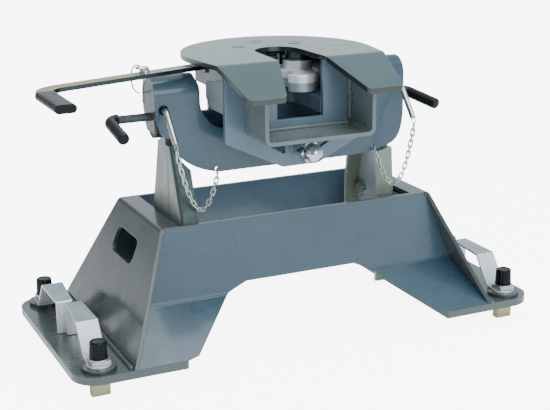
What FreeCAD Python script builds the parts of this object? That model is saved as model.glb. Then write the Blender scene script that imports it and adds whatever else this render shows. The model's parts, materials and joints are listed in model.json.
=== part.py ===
import FreeCAD, Part
import math
import os

# Fifth wheel hitch for a pickup bed, in millimetres.  X runs across the truck, +Y towards
# the cab, +Z up.  The four bed anchors stand on z = 0.  The kingpin enters from -Y.

V = FreeCAD.Vector
X_AXIS, Y_AXIS, Z_AXIS = V(1, 0, 0), V(0, 1, 0), V(0, 0, 1)
FAR = 600.0

# bed anchors and feet
ANCHOR_X, ANCHOR_Y = 357.1, 151.7
ANCHOR_HALF_X, ANCHOR_HALF_Y = 14.7, 7.7
FOOT_BOTTOM, FOOT_TOP = 28.1, 40.6
FOOT_INNER_X, FOOT_OUTER_X, FOOT_HALF_Y = 227.0, 398.6, 184.4
FOOT_CORNER_R = 40.0
STUD_R, RUN_GAP = 12.7, 0.05
ANCHOR_HOLE_R = 17.0
BOSS_R, BOSS_H = 26.5, 6.0
LOCK_STRAP_T, LOCK_TOP_Z, LOCK_REACH = 3.2, 95.0, 147.0
LOCK_LEG_START, LOCK_LEG_END = 27.0, 61.0
LOCK_SIDE_STRAIGHT, LOCK_SIDE_WIDE, LOCK_SIDE_NARROW = 18.8, 15.4, 6.8
CAP_R, CAP_TOP = 13.2, 85.0

# trough
SHEET = 6.0
TROUGH_TOP, BEND_Z = 223.3, 104.2
TROUGH_HALF_X, TROUGH_HALF_Y = 236.4, 99.9
FOOT_PANEL_X, FLARE_Y, LEG_INNER_X = 313.2, 184.1, 209.5
ARCH_TOP, ARCH_HALF_TOP, ARCH_HALF_BEND = 118.8, 96.0, 127.2
FLANGE_INNER_X = 204.0

# uprights, cradle and the two axes the head tilts about
PITCH_Y, PITCH_Z = -15.0, 379.0
UPRIGHT_OUT_X, UPRIGHT_T = 197.0, 6.5
EAR_OUT_X, EAR_IN_X = 218.0, 148.0
EAR_HALF_Y, EAR_TOP = 28.0, 442.0
PULL_R, SAFETY_R, SAFETY_Z = 6.35, 4.6, 393.0
SAFETY_XS = (-204.0, 208.0)
CHAIN_HOLES = ((-118.7, 291.5), (162.5, 296.5))
# inner end, bend and outer tip of each pull pin; the left one is drawn part way out
PULL_ROUTES = (((-181, PITCH_Y, PITCH_Z), (-283, PITCH_Y, PITCH_Z), (-283, -86, 366)),
               ((138, PITCH_Y, PITCH_Z), (239, PITCH_Y, PITCH_Z), (261, -73, 365)))
GRIP_R, GRIP_LAP = 9.0, 15.0
NECK_HALF_Y = 12.0
BOLT_HEIGHTS = (105.0, 200.0)
# each upright: foot front and back, top front and back, height where the wide web ends, heights
# of the flange top at the web and at its free edge, X of that edge, bolt positions
UPRIGHT_SHAPES = {
    "left": {"foot": (-89.0, 46.0), "top": (-44.0, 12.5), "web_top": 335.0,
             "flange_top": (324.0, 298.0), "edge_x": 168.0, "bolts": (-55.0, 25.0)},
    "right": {"foot": (-55.0, 62.0), "top": (-49.0, 50.0), "web_top": 292.0,
              "flange_top": (292.0, 286.0), "edge_x": 164.0, "bolts": (-28.0, 42.0)}}
ROLL_Z, ROLL_PIN_R, SLEEVE_R = 325.0, 12.7, 20.0

# head
KING_Y = -17.0
KING_BORE_R, THROAT_R, THROAT_Y = 25.9, 37.0, -20.0
PLATE_TOP, PLATE_T, PLATE_R = 466.0, 7.5, 154.0
FOLD_Y, RAMP_END_Y, RAMP_END_Z = -108.5, -197.2, 427.7
RAMP_HALF_OUT, RAMP_HALF_THROAT, FOLD_HALF_THROAT = 127.8, 68.2, 40.4
FRONT_Y, FRONT_T, BACK_Y = -100.0, 8.0, 28.0
BOX_FRONT_Y, BOX_HALF_X, BOX_BOTTOM = -172.9, 93.0, 350.0
JAW_BOTTOM, JAW_TOP = 403.0, 430.0
OVERHANG_Z = 409.0
JAW_X, JAW_Y, JAW_PIN_R = 52.0, 18.0, 9.5
SPRING_END, SPRING_Y, SPRING_Z = 34.0, 52.0, 443.0
HANDLE_BOTTOM, HANDLE_TOP, HANDLE_HALF_W = 450.5, 457.0, 12.0
HANDLE_TIP_X, HANDLE_TIP_Y = -411.0, -246.0
CAM_Y, CAM_PIVOT_R = 80.0, 10.0
LOCK_PIN_X, LOCK_PIN_Y = -238.0, -62.0
TETHER_POINTS = ((-240, -47, 464), (-244, -38, 464.5), (-247, -30, 457), (-246, -22, 445.7),
                 (-243, -14, 435), (-238, -6, 424), (-230, 4, 416), (-221, 16, 411))

SIDES = (("left", -1), ("right", 1))


def save(name, *solids):
    """Write one node; several solids go in as one compound."""
    shape = solids[0] if len(solids) == 1 else Part.makeCompound(list(solids))
    shape.exportStep("parts/" + name + ".step")


def face_of(points):
    return Part.Face(Part.makePolygon(points + [points[0]]))


def prism_xz(points, y0, y1):
    return face_of([V(x, y0, z) for x, z in points]).extrude(V(0, y1 - y0, 0))


def prism_yz(points, x0, x1):
    return face_of([V(x0, y, z) for y, z in points]).extrude(V(x1 - x0, 0, 0))


def prism_xy(points, z0, z1):
    return face_of([V(x, y, z0) for x, y in points]).extrude(V(0, 0, z1 - z0))


def block(x0, x1, y0, y1, z0, z1):
    return Part.makeBox(x1 - x0, y1 - y0, z1 - z0, V(x0, y0, z0))


def rod(start, end, radius):
    span = V(*end) - V(*start)
    return Part.makeCylinder(radius, span.Length, V(*start), span)


def ring(start, end, outer, inner):
    return rod(start, end, outer).cut(rod(start, end, inner))


def hexagon(start, end, across):
    """Hexagonal prism between two points, measured across its flats."""
    span = V(*end) - V(*start)
    corner = across / math.sqrt(3)
    flat = [V(corner * math.cos(a), corner * math.sin(a), 0)
            for a in [math.radians(60 * i) for i in range(6)]]
    solid = face_of(flat).extrude(V(0, 0, span.Length))
    turn = FreeCAD.Rotation(Z_AXIS, span)
    solid.Placement = FreeCAD.Placement(V(*start), turn)
    return solid


def bent_rod(points, radius, bend):
    """Round bar along a route of straight runs with one rounded bend."""
    wire = rounded_route(points, [bend])
    first = V(*points[1]) - V(*points[0])
    circle = Part.Wire(Part.makeCircle(radius, V(*points[0]), first))
    return wire.makePipeShell([circle], True, False)


def rounded_route(points, bends):
    """Wire through the points, with an arc of the listed radius at each inner one."""
    pts = [V(*p) for p in points]
    edges, start = [], pts[0]
    for before, corner, after, bend in zip(pts, pts[1:], pts[2:], bends):
        u = (before - corner).normalize()
        w = (after - corner).normalize()
        half = u.getAngle(w) / 2
        cut = bend / math.tan(half)
        a, b = corner + u * cut, corner + w * cut
        middle = corner + (u + w).normalize() * (bend / math.sin(half) - bend)
        edges.append(Part.makeLine(start, a))
        edges.append(Part.Arc(a, middle, b).toShape())
        start = b
    edges.append(Part.makeLine(start, pts[-1]))
    return Part.Wire(edges)


def curve_xz(points, y):
    """Smooth edge through the given (x, z) points."""
    spline = Part.BSplineCurve()
    spline.interpolate([V(x, y, z) for x, z in points])
    return spline.toShape()


def mirrored(points):
    """Close a right-half outline by its mirror image in X."""
    return points + [(-x, z) for x, z in reversed(points) if x != 0]


def flip_x(solid, side):
    return solid if side < 0 else solid.mirror(V(0, 0, 0), X_AXIS)


def soften(solid, radius, wanted):
    """Fillet the straight edges that the test picks by their middle point and direction."""
    picked = []
    for edge in solid.Edges:
        if isinstance(edge.Curve, Part.Line):
            middle = edge.valueAt((edge.FirstParameter + edge.LastParameter) / 2)
            if wanted(middle, edge.Curve.Direction):
                picked.append(edge)
    return solid.makeFillet(radius, picked)


# ---------------------------------------------------------------- base
PANEL_LEAN = (FOOT_PANEL_X - TROUGH_HALF_X) / (TROUGH_TOP - FOOT_TOP)
PANEL_STEP = SHEET * math.hypot(1, PANEL_LEAN)
PANEL_BEND_X = TROUGH_HALF_X + PANEL_LEAN * (TROUGH_TOP - BEND_Z)


def end_panel():
    """Left leaning end panel with its hand hole and its inward top flange."""
    top_in = TROUGH_HALF_X - PANEL_STEP + PANEL_LEAN * SHEET
    section = [(-TROUGH_HALF_X, TROUGH_TOP), (-FOOT_PANEL_X, FOOT_TOP),
               (-FOOT_PANEL_X + PANEL_STEP, FOOT_TOP), (-top_in, TROUGH_TOP - SHEET),
               (-FLANGE_INNER_X, TROUGH_TOP - SHEET), (-FLANGE_INNER_X, TROUGH_TOP)]
    solid = prism_xz(section, -FLARE_Y, FLARE_Y)
    solid = soften(solid, 7.0, lambda m, d: abs(d.y) > 0.9 and m.z > TROUGH_TOP - 1 and m.x < -230)
    front = [(-TROUGH_HALF_Y, TROUGH_TOP), (-FLARE_Y, FOOT_TOP), (FLARE_Y, FOOT_TOP),
             (TROUGH_HALF_Y, TROUGH_TOP)]
    solid = solid.common(prism_yz(front, -FAR, 0))
    flange_gap = block(-TROUGH_HALF_X + 8, 0, -FAR, FAR, TROUGH_TOP - SHEET - 1, TROUGH_TOP + 1)
    flange = flange_gap.cut(block(-FAR, FAR, 0.2 - TROUGH_HALF_Y + SHEET, TROUGH_HALF_Y - SHEET - 0.2,
                                  0, FAR))
    hole = soften(block(-FAR, 0, -38, 58, 152, 190), 12.0, lambda m, d: abs(d.x) > 0.9)
    return solid.cut(flange).cut(hole)


def trough_plate(panels):
    """Front plate: upright wall, arch below, and two legs that flare out to the feet."""
    outline = mirrored([(0, TROUGH_TOP), (TROUGH_HALF_X, TROUGH_TOP), (PANEL_BEND_X, BEND_Z),
                        (FOOT_PANEL_X, FOOT_TOP), (FOOT_INNER_X, FOOT_TOP),
                        (LEG_INNER_X, FOOT_TOP + 3.0), (ARCH_HALF_BEND, BEND_Z),
                        (ARCH_HALF_TOP, ARCH_TOP), (0, ARCH_TOP)])
    slope = (BEND_Z - FOOT_TOP) / (FLARE_Y - TROUGH_HALF_Y)
    half_angle = math.atan(slope)
    inner_bend = BEND_Z - SHEET * math.tan(math.pi / 4 - half_angle / 2)
    inner_foot = (inner_bend - FOOT_TOP) / slope
    wall = TROUGH_HALF_Y - SHEET
    section = [(-TROUGH_HALF_Y, TROUGH_TOP), (-TROUGH_HALF_Y, BEND_Z), (-FLARE_Y, FOOT_TOP),
               (-wall - inner_foot, FOOT_TOP), (-wall, inner_bend), (-wall, TROUGH_TOP)]
    sheet = prism_yz(section, -FAR, FAR)
    sheet = soften(sheet, 9.0, lambda m, d: abs(m.z - BEND_Z) < 8)
    solid = sheet.common(prism_xz(outline, -FAR, FAR))
    for panel in panels:
        solid = solid.cut(panel)
    return max(solid.Solids, key=lambda s: s.Volume)


def foot_plate():
    solid = block(-FOOT_OUTER_X, -FOOT_INNER_X, -FOOT_HALF_Y, FOOT_HALF_Y, FOOT_BOTTOM, FOOT_TOP)
    solid = soften(solid, FOOT_CORNER_R, lambda m, d: abs(d.z) > 0.9 and m.x < -380)
    solid = soften(solid, 3.0, lambda m, d: abs(d.z) > 0.9 and m.x > -230)
    for y in (-ANCHOR_Y, ANCHOR_Y):
        solid = solid.cut(rod((-ANCHOR_X, y, 0), (-ANCHOR_X, y, 100), ANCHOR_HOLE_R))
    return solid


def upright(shape):
    """Left-hand upright: a tapered channel, open to the middle, with a narrow round-topped neck."""
    out, inn, t = -UPRIGHT_OUT_X, -shape["edge_x"], UPRIGHT_T
    low, knee, web_top = 62.0, 216.0, shape["web_top"]
    (front_low, back_low), (front_top, back_top) = shape["foot"], shape["top"]
    side = [(front_low, low), (front_low, knee), (front_top, web_top), (back_top, web_top),
            (back_low, knee), (back_low, low)]
    wide = prism_yz(side, out, inn)
    wide = soften(wide, 6.0, lambda m, d: m.x < out + 0.1 and abs(d.z) > 0.5)
    inside = [(front_low + t, low - 1), (front_low + t, knee + 1), (front_top + t, web_top + 1),
              (back_top - t, web_top + 1), (back_low - t, knee + 1), (back_low - t, low - 1)]
    wide = wide.cut(prism_yz(inside, out + t, inn + 1))
    at_web, at_edge = shape["flange_top"]
    wide = wide.cut(prism_xz([(out + t, at_web), (inn, at_edge), (inn + 1, FAR), (out + t, FAR)],
                             -FAR, FAR))
    neck = obround(out, out + 27, NECK_HALF_Y, at_web - 12, PITCH_Z)
    gap = NECK_HALF_Y - t
    neck = neck.cut(block(out + t, 0, PITCH_Y - gap, PITCH_Y + gap, 0, FAR))
    solid = wide.fuse(neck).removeSplitter()
    return drill_for_bolts(pull_hole(solid), shape["bolts"])


def obround(x0, x1, half, low, high):
    """Bar across X, round over the top, between two heights."""
    body = block(x0, x1, PITCH_Y - half, PITCH_Y + half, low, high)
    return body.fuse(rod((x0, PITCH_Y, high), (x1, PITCH_Y, high), half)).removeSplitter()


def drill_for_bolts(solid, bolt_ys):
    for y in bolt_ys:
        for z in BOLT_HEIGHTS:
            solid = solid.cut(rod((-FAR, y, z), (0, y, z), 6.6))
    return solid


def upright_bracket(bolt_ys):
    solid = block(-UPRIGHT_OUT_X - 8, -UPRIGHT_OUT_X, -TROUGH_HALF_Y + SHEET,
                  TROUGH_HALF_Y - SHEET, 62, 213)
    return drill_for_bolts(solid, bolt_ys)


def upright_bolt(y, z):
    out, inn = -UPRIGHT_OUT_X - 8, -UPRIGHT_OUT_X + UPRIGHT_T
    shank = rod((out - 14, y, z), (inn + 1, y, z), 6.5)
    head = hexagon((inn + 2.6, y, z), (inn + 10.5, y, z), 19.0)
    washer = rod((inn, y, z), (inn + 2.6, y, z), 13.0)
    nut = hexagon((out - 11, y, z), (out, y, z), 19.0)
    return shank.fuse([head, washer, nut])


def make_base():
    left_panel = end_panel()
    panels = [left_panel, flip_x(left_panel, 1)]
    save("end_panel_left", panels[0])
    save("end_panel_right", panels[1])
    front = trough_plate(panels)
    save("base_front_plate", front)
    save("base_back_plate", front.mirror(V(0, 0, 0), Y_AXIS))
    bosses, brackets, bolts = [], [], []
    for name, side in SIDES:
        bolt_ys = UPRIGHT_SHAPES[name]["bolts"]
        save("upright_" + name, flip_x(upright(UPRIGHT_SHAPES[name]), side))
        brackets.append(flip_x(upright_bracket(bolt_ys), side))
        bolts += [flip_x(upright_bolt(y, z), side) for y in bolt_ys for z in BOLT_HEIGHTS]
        save("foot_plate_" + name, flip_x(foot_plate(), side))
        for y in (-ANCHOR_Y, ANCHOR_Y):
            x = side * ANCHOR_X
            bosses.append(ring((x, y, FOOT_TOP), (x, y, FOOT_TOP + BOSS_H), BOSS_R, STUD_R + 0.4))
    save("anchor_bosses", *bosses)
    save("upright_brackets", *brackets)
    save("upright_bolts", *bolts)


# ---------------------------------------------------------------- bed locks
def bed_lock(side, end):
    """Anchor, stud, nut and cap of one quarter-turn bed lock, and its strap handle."""
    x, y = side * ANCHOR_X, end * ANCHOR_Y
    anchor = block(x - ANCHOR_HALF_X, x + ANCHOR_HALF_X, y - ANCHOR_HALF_Y, y + ANCHOR_HALF_Y,
                   0, FOOT_BOTTOM - 0.6)
    anchor = soften(anchor, 3.0, lambda m, d: abs(d.z) > 0.9)
    stud = rod((x, y, FOOT_BOTTOM - 0.6), (x, y, 62), STUD_R)
    anchor = anchor.fuse(stud)
    seat = FOOT_TOP + BOSS_H + 0.4
    nut_z = seat + LOCK_STRAP_T
    nut = block(x - 13.5, x + 13.5, y - 13.5, y + 13.5, nut_z, nut_z + 5.5)
    nut = nut.fuse(rod((x, y, nut_z + 5.5), (x, y, nut_z + 8), 14.5))
    nut = nut.cut(rod((x, y, 0), (x, y, 100), STUD_R))
    cap_base = nut_z + 8
    cap = Part.makeCone(CAP_R + 0.8, CAP_R - 0.6, CAP_TOP - cap_base, V(x, y, cap_base), Z_AXIS)
    cap = soften_top(cap, 2.0).cut(rod((x, y, 0), (x, y, 62), STUD_R))
    return anchor, nut, cap, lock_handle(x, y, -end, seat)


def soften_top(solid, radius):
    top = max(solid.Edges, key=lambda e: e.BoundBox.ZMin)
    return solid.makeFillet(radius, [top])


def lock_handle(x, y, way, seat):
    """Bent strap: a ring under the nut, a rising leg, a flat top and a foot at mid-length."""
    t = LOCK_STRAP_T
    route = [(0, seat), (LOCK_LEG_START, seat), (LOCK_LEG_END, LOCK_TOP_Z - t),
             (LOCK_REACH - t, LOCK_TOP_Z - t), (LOCK_REACH - t, FOOT_TOP + 1.2),
             (LOCK_REACH, FOOT_TOP + 1.2), (LOCK_REACH, LOCK_TOP_Z),
             (LOCK_LEG_END - 1.6, LOCK_TOP_Z), (LOCK_LEG_START - 1.6, seat + t), (0, seat + t)]
    strap = prism_yz([(y + way * run, z) for run, z in route], x - 60, x + 60)
    strap = soften(strap, 2.8, lambda m, d: m.z > LOCK_TOP_Z - 0.1)
    plan = [(x + way * LOCK_SIDE_STRAIGHT, y), (x - way * LOCK_SIDE_WIDE, y),
            (x - way * LOCK_SIDE_WIDE, y + way * LOCK_LEG_END),
            (x - way * LOCK_SIDE_NARROW, y + way * LOCK_REACH),
            (x + way * LOCK_SIDE_STRAIGHT, y + way * LOCK_REACH)]
    strap = strap.common(prism_xy(plan, 0, 200))
    eye = rod((x, y, seat), (x, y, seat + t), LOCK_SIDE_STRAIGHT)
    return strap.fuse(eye).cut(rod((x, y, 0), (x, y, 200), STUD_R + 0.02)).removeSplitter()


def make_locks():
    for side_name, side in SIDES:
        for end_name, end in (("front", -1), ("rear", 1)):
            anchor, nut, cap, handle = bed_lock(side, end)
            tag = end_name + "_" + side_name
            save("anchor_" + tag, anchor, nut)
            save("anchor_cap_" + tag, cap)
            save("lock_handle_" + tag, handle)


# ---------------------------------------------------------------- cradle
def cradle_outline():
    """Front view: two ears joined by a deep web; its left corner is cut up round the upright."""
    y = -FAR
    left_in = [(-95, 352), (-110, 356), (-126.6, 365), (-137, 378), (-142.5, 390), (-144, 408),
               (-EAR_IN_X, 436)]
    right_in = [(-x, z) for x, z in reversed(left_in)]
    left_low = [(-181, 319), (-158, 300.5), (-132, 290), (-112, 286)]
    right_low = [(112, 286), (150, 288), (176, 292.5), (195.5, 299), (207, 308), (214, 323),
                 (EAR_OUT_X, 348)]
    corner = [(-EAR_OUT_X, 398), (-215.5, 374), (-210, 356.5), (-203, 349), (-190, 346),
              (-181, 319)]
    runs = [[V(x, y, z) for x, z in corner], [V(-112, y, 286), V(112, y, 286)],
            [V(EAR_OUT_X, y, 348), V(EAR_OUT_X, y, 500), V(EAR_IN_X, y, 500), V(EAR_IN_X, y, 436)],
            [V(95, y, 352), V(-95, y, 352)],
            [V(-EAR_IN_X, y, 436), V(-EAR_IN_X, y, 500), V(-EAR_OUT_X, y, 500),
             V(-EAR_OUT_X, y, 398)]]
    edges = [edge for run in runs for edge in Part.makePolygon(run).Edges]
    edges += [curve_xz(c, y) for c in (left_in, right_in, left_low, right_low)]
    wire = Part.Wire(Part.__sortEdges__(edges))
    return Part.Face(wire).extrude(V(0, 2 * FAR, 0))


def cradle_frame():
    """One bent plate: an upside-down U in side view, cut to the front outline."""
    centre = EAR_TOP - EAR_HALF_Y
    outer = obround(-FAR, FAR, EAR_HALF_Y, 250, centre)
    inner = obround(-FAR - 1, FAR + 1, EAR_HALF_Y - SHEET, 249, centre)
    solid = outer.cut(inner).common(cradle_outline())
    solid = solid.cut(rod((0, -FAR, ROLL_Z), (0, FAR, ROLL_Z), SLEEVE_R))
    for x in SAFETY_XS:
        solid = solid.cut(rod((x, -FAR, SAFETY_Z), (x, PITCH_Y, SAFETY_Z), 7.8))
        solid = solid.cut(rod((x, PITCH_Y, SAFETY_Z), (x, FAR, SAFETY_Z), SAFETY_R + RUN_GAP))
    for x, z in CHAIN_HOLES:
        solid = solid.cut(rod((x, -FAR, z), (x, PITCH_Y, z), 3.2))
    return solid


def side_plate(side):
    """Cheek that closes the ear's outer end, with its lower back corner cut off."""
    centre = EAR_TOP - EAR_HALF_Y
    solid = obround(-EAR_OUT_X + 0.5, -EAR_OUT_X + 4.8, EAR_HALF_Y - SHEET - 0.05, 356, centre)
    solid = solid.cut(prism_yz([(PITCH_Y + 7, 350), (PITCH_Y + 60, 350), (PITCH_Y + 60, 414)],
                               -FAR, 0))
    return flip_x(pull_hole(solid), side)


def pull_hole(solid):
    return solid.cut(rod((-FAR, PITCH_Y, PITCH_Z), (0, PITCH_Y, PITCH_Z), PULL_R + RUN_GAP))


def bushing(x0, x1, safety_x, side):
    """Urethane block round the pull pin, round at both ends, filling the ear."""
    half = EAR_HALF_Y - SHEET - 0.3
    solid = obround(x0, x1, half, 345 + half, EAR_TOP - EAR_HALF_Y)
    solid = solid.fuse(rod((x0, PITCH_Y, 345 + half), (x1, PITCH_Y, 345 + half), half))
    solid = pull_hole(solid.removeSplitter())
    hole = rod((-abs(safety_x), -FAR, SAFETY_Z), (-abs(safety_x), FAR, SAFETY_Z), SAFETY_R + RUN_GAP)
    return flip_x(solid.cut(hole), side)


def safety_pin(x):
    """Bent pin through the ear: a straight shank and a leg that hangs down outside."""
    return bent_rod([(x, PITCH_Y + 36, SAFETY_Z), (x, -55, SAFETY_Z), (x, -92, 350)], SAFETY_R, 8)


def pull_pin(inner, corner, tip):
    """Bent bar through ear and upright, and the soft grip that covers its bend and end."""
    bar = bent_rod([inner, corner, tip], PULL_R, 15)
    along_bar = (V(*inner) - V(*corner)).normalize()
    past_tip = V(*tip) + (V(*tip) - V(*corner)).normalize() * 4
    grip = bent_rod([tuple(V(*corner) + along_bar * GRIP_LAP), corner, tuple(past_tip)], GRIP_R, 14.9)
    rim = [e for e in grip.Edges if isinstance(e.Curve, Part.Circle)
           and (e.Curve.Center - past_tip).Length < 0.1]
    grip = grip.makeFillet(3.5, rim).cut(bar)
    return bar, max(grip.Solids, key=lambda s: s.Volume)


def chain(route):
    """Welded chain: equal links along the route, every other one turned a quarter."""
    pts = [V(*p) for p in route]
    pitch, wire, half_w, half_l = 9.4, 1.15, 2.9, 3.6
    lengths = [(b - a).Length for a, b in zip(pts, pts[1:])]
    count = int(sum(lengths) / pitch)
    links = []
    for i in range(count):
        here, way = along(pts, lengths, (i + 0.5) * pitch)
        turn = FreeCAD.Rotation(X_AXIS, way)
        roll = FreeCAD.Rotation(X_AXIS, 45 + 90 * (i % 2))
        link = chain_link(wire, half_w, half_l)
        link.Placement = FreeCAD.Placement(here, turn.multiply(roll))
        links.append(link)
    return links


def along(pts, lengths, distance):
    for a, b, length in zip(pts, pts[1:], lengths):
        if distance <= length:
            return a + (b - a) * (distance / length), (b - a).normalize()
        distance -= length
    return pts[-1], (pts[-1] - pts[-2]).normalize()


def chain_link(wire, half_w, half_l):
    a, b = V(-half_l, half_w, 0), V(half_l, half_w, 0)
    c, d = V(half_l, -half_w, 0), V(-half_l, -half_w, 0)
    path = Part.Wire([Part.makeLine(a, b), Part.Arc(b, V(half_l + half_w, 0, 0), c).toShape(),
                      Part.makeLine(c, d), Part.Arc(d, V(-half_l - half_w, 0, 0), a).toShape()])
    circle = Part.Wire(Part.makeCircle(wire, a, X_AXIS))
    return path.makePipeShell([circle], True, False)


def hanging(start, end, lean, steps):
    """Points of a parabola between two points, drawn off by lean at its middle."""
    a, b, off = V(*start), V(*end), V(*lean)
    return [tuple(a + (b - a) * t + off * (4 * t * (1 - t)))
            for t in [i / steps for i in range(steps + 1)]]


def tether_screw():
    """Small screw in the back of the left ear that ends the handle pin's wire."""
    back = PITCH_Y + EAR_HALF_Y
    head = rod((-213, back, 399), (-213, back + 5, 399), 4.2)
    return head.fuse(rod((-213, back + 5, 399), (-213, back + 7, 399), 2.2)).removeSplitter()


def make_cradle():
    save("cradle_frame", cradle_frame())
    save("roll_sleeve", ring((0, -91, ROLL_Z), (0, 27, ROLL_Z), SLEEVE_R, ROLL_PIN_R + RUN_GAP))
    for (name, side), safety_x, pull in zip(SIDES, SAFETY_XS, PULL_ROUTES):
        save("ear_plate_" + name, side_plate(side))
        save("ear_bushing_" + name, bushing(-213, -198, safety_x, side),
             bushing(-162.5, -150, safety_x, side))
        bar, grip = pull_pin(*pull)
        save("pull_pin_" + name, bar)
        save("pull_grip_" + name, grip)
        save("safety_pin_" + name, safety_pin(safety_x))
    save("safety_chain_left", *chain(hanging((-204, -96, 340), (-118.7, -49, 289), (-5, -13, -72), 60)))
    save("safety_chain_right", *chain(hanging((208, -96, 340), (161.5, -52, 292), (-3, -12, -73), 60)))
    save("tether_screw", tether_screw())


# ---------------------------------------------------------------- head
RAMP_SLOPE = (PLATE_TOP - RAMP_END_Z) / (FOLD_Y - RAMP_END_Y)
RAMP_ANGLE = math.atan(RAMP_SLOPE)
UNDER_FOLD_Y = FOLD_Y + PLATE_T * math.tan(RAMP_ANGLE / 2)
PLATE_UNDER = PLATE_TOP - PLATE_T


def ramp_under(y):
    """Height of the plate's underside at a given y."""
    return PLATE_UNDER - max(0.0, UNDER_FOLD_Y - y) * RAMP_SLOPE


def top_plate():
    """Round skid plate with a throat, folded down at the mouth into two ramps."""
    side_y = KING_Y - PLATE_R * math.sin(math.radians(9.4))
    side_x = PLATE_R * math.cos(math.radians(9.4))
    skirt = prism_xy([(side_x, side_y), (-side_x, side_y), (-RAMP_HALF_OUT, RAMP_END_Y),
                      (RAMP_HALF_OUT, RAMP_END_Y)], 380, 500)
    plan = rod((0, KING_Y, 380), (0, KING_Y, 500), PLATE_R).fuse(skirt).removeSplitter()
    mouth_x = RAMP_HALF_THROAT + (RAMP_HALF_THROAT - FOLD_HALF_THROAT) / 8
    plan = plan.cut(rod((0, THROAT_Y, 0), (0, THROAT_Y, FAR), THROAT_R))
    plan = plan.cut(prism_xy([(THROAT_R, THROAT_Y), (FOLD_HALF_THROAT, FOLD_Y),
                              (mouth_x, RAMP_END_Y - 11), (-mouth_x, RAMP_END_Y - 11),
                              (-FOLD_HALF_THROAT, FOLD_Y), (-THROAT_R, THROAT_Y)], 0, FAR))
    end_z = RAMP_END_Z - 20 * RAMP_SLOPE
    drop = PLATE_T / math.cos(RAMP_ANGLE)
    section = [(300, PLATE_TOP), (FOLD_Y, PLATE_TOP), (RAMP_END_Y - 20, end_z),
               (RAMP_END_Y - 20, end_z - drop), (UNDER_FOLD_Y, PLATE_UNDER), (300, PLATE_UNDER)]
    sheet = prism_yz(section, -FAR, FAR)
    sheet = soften(sheet, 25.0, lambda m, d: abs(m.y - FOLD_Y) < 1 and m.z > PLATE_TOP - 1)
    sheet = soften(sheet, 17.0, lambda m, d: abs(m.y - UNDER_FOLD_Y) < 1 and m.z < PLATE_UNDER + 1)
    solid = sheet.common(plan)
    return soften(solid, 9.0, lambda m, d: m.y < RAMP_END_Y + 1 and abs(d.z) > 0.5)


def head_front_plate():
    """Pivot plate behind the box: window for the kingpin above, V-shaped foot below."""
    outline = mirrored([(0, 297), (31, 297), (126.5, 343), (126.5, PLATE_UNDER), (0, PLATE_UNDER)])
    solid = prism_xz(outline, FRONT_Y, FRONT_Y + FRONT_T)
    solid = soften(solid, 7.0, lambda m, d: abs(d.y) > 0.9 and m.z < 350)
    window = block(-39.5, 39.5, -FAR, FAR, 371.5, FAR)
    solid = solid.cut(window)
    for side in (-1, 1):
        opening = [(side * 76, 345), (side * 26, 345), (side * 26, 316)]
        cutter = prism_xz(opening, -FAR, FAR)
        solid = solid.cut(soften(cutter, 3.0, lambda m, d: abs(d.y) > 0.9))
    return solid.cut(rod((0, -FAR, ROLL_Z), (0, FAR, ROLL_Z), ROLL_PIN_R))


def kingpin_box():
    """Folded open-fronted box under the ramps: two sides and a floor, one bent sheet."""
    half, inner = BOX_HALF_X, BOX_HALF_X - SHEET
    outer = block(-half, half, BOX_FRONT_Y, FRONT_Y, BOX_BOTTOM, FAR)
    outer = soften(outer, 12.0, lambda m, d: abs(d.y) > 0.9 and m.z < BOX_BOTTOM + 1)
    hollow = block(-inner, inner, BOX_FRONT_Y - 1, FRONT_Y + 1, BOX_BOTTOM + SHEET, FAR + 1)
    hollow = soften(hollow, 6.0, lambda m, d: abs(d.y) > 0.9 and m.z < BOX_BOTTOM + 10)
    solid = outer.cut(hollow)
    above = [(FRONT_Y + 1, ramp_under(FRONT_Y)), (UNDER_FOLD_Y, PLATE_UNDER),
             (BOX_FRONT_Y - 20, ramp_under(BOX_FRONT_Y - 20)), (BOX_FRONT_Y - 20, FAR + 5),
             (FRONT_Y + 1, FAR + 5)]
    return solid.cut(prism_yz(above, -FAR, FAR))


def head_back_plate():
    outline = mirrored([(0, 297), (31, 297), (101, 343), (118, 354), (118, 370), (101, 370),
                        (101, 392), (0, 392)])
    solid = prism_xz(outline, BACK_Y, BACK_Y + FRONT_T)
    return solid.cut(rod((0, 0, ROLL_Z), (0, FAR, ROLL_Z), ROLL_PIN_R))


def jaw_floor():
    """Shelf that carries the jaws, with the kingpin slot cut from the front."""
    start = FRONT_Y + FRONT_T
    plan = [(-101, start), (101, start), (101, 38), (58, 104), (-58, 104), (-101, 38)]
    solid = soften(prism_xy(plan, 392, 400), 20.0, lambda m, d: abs(d.z) > 0.9 and m.y > 0)
    solid = solid.cut(rod((0, KING_Y, 0), (0, KING_Y, FAR), THROAT_R + 1))
    solid = solid.cut(block(-THROAT_R - 1, THROAT_R + 1, -FAR, KING_Y, 0, FAR))
    for side in (-1, 1):
        solid = solid.cut(rod((side * JAW_X, JAW_Y, 0), (side * JAW_X, JAW_Y, FAR), JAW_PIN_R))
    return solid.cut(rod((0, CAM_Y, 0), (0, CAM_Y, FAR), CAM_PIVOT_R))


def head_rib(side):
    """Rib between shelf and skid plate; the left one is cut low where the handle sweeps."""
    start, end = FRONT_Y + FRONT_T, 84
    top = [(end, PLATE_UNDER), (start, PLATE_UNDER)]
    if side < 0:
        top = [(end, 444), (-42, 444), (-52, PLATE_UNDER), (start, PLATE_UNDER)]
    profile = [(start, 400), (38, 400), (38, OVERHANG_Z), (end, OVERHANG_Z)] + top
    x0, x1 = sorted((side * 94, side * 101))
    return prism_yz(profile, x0, x1)


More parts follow.
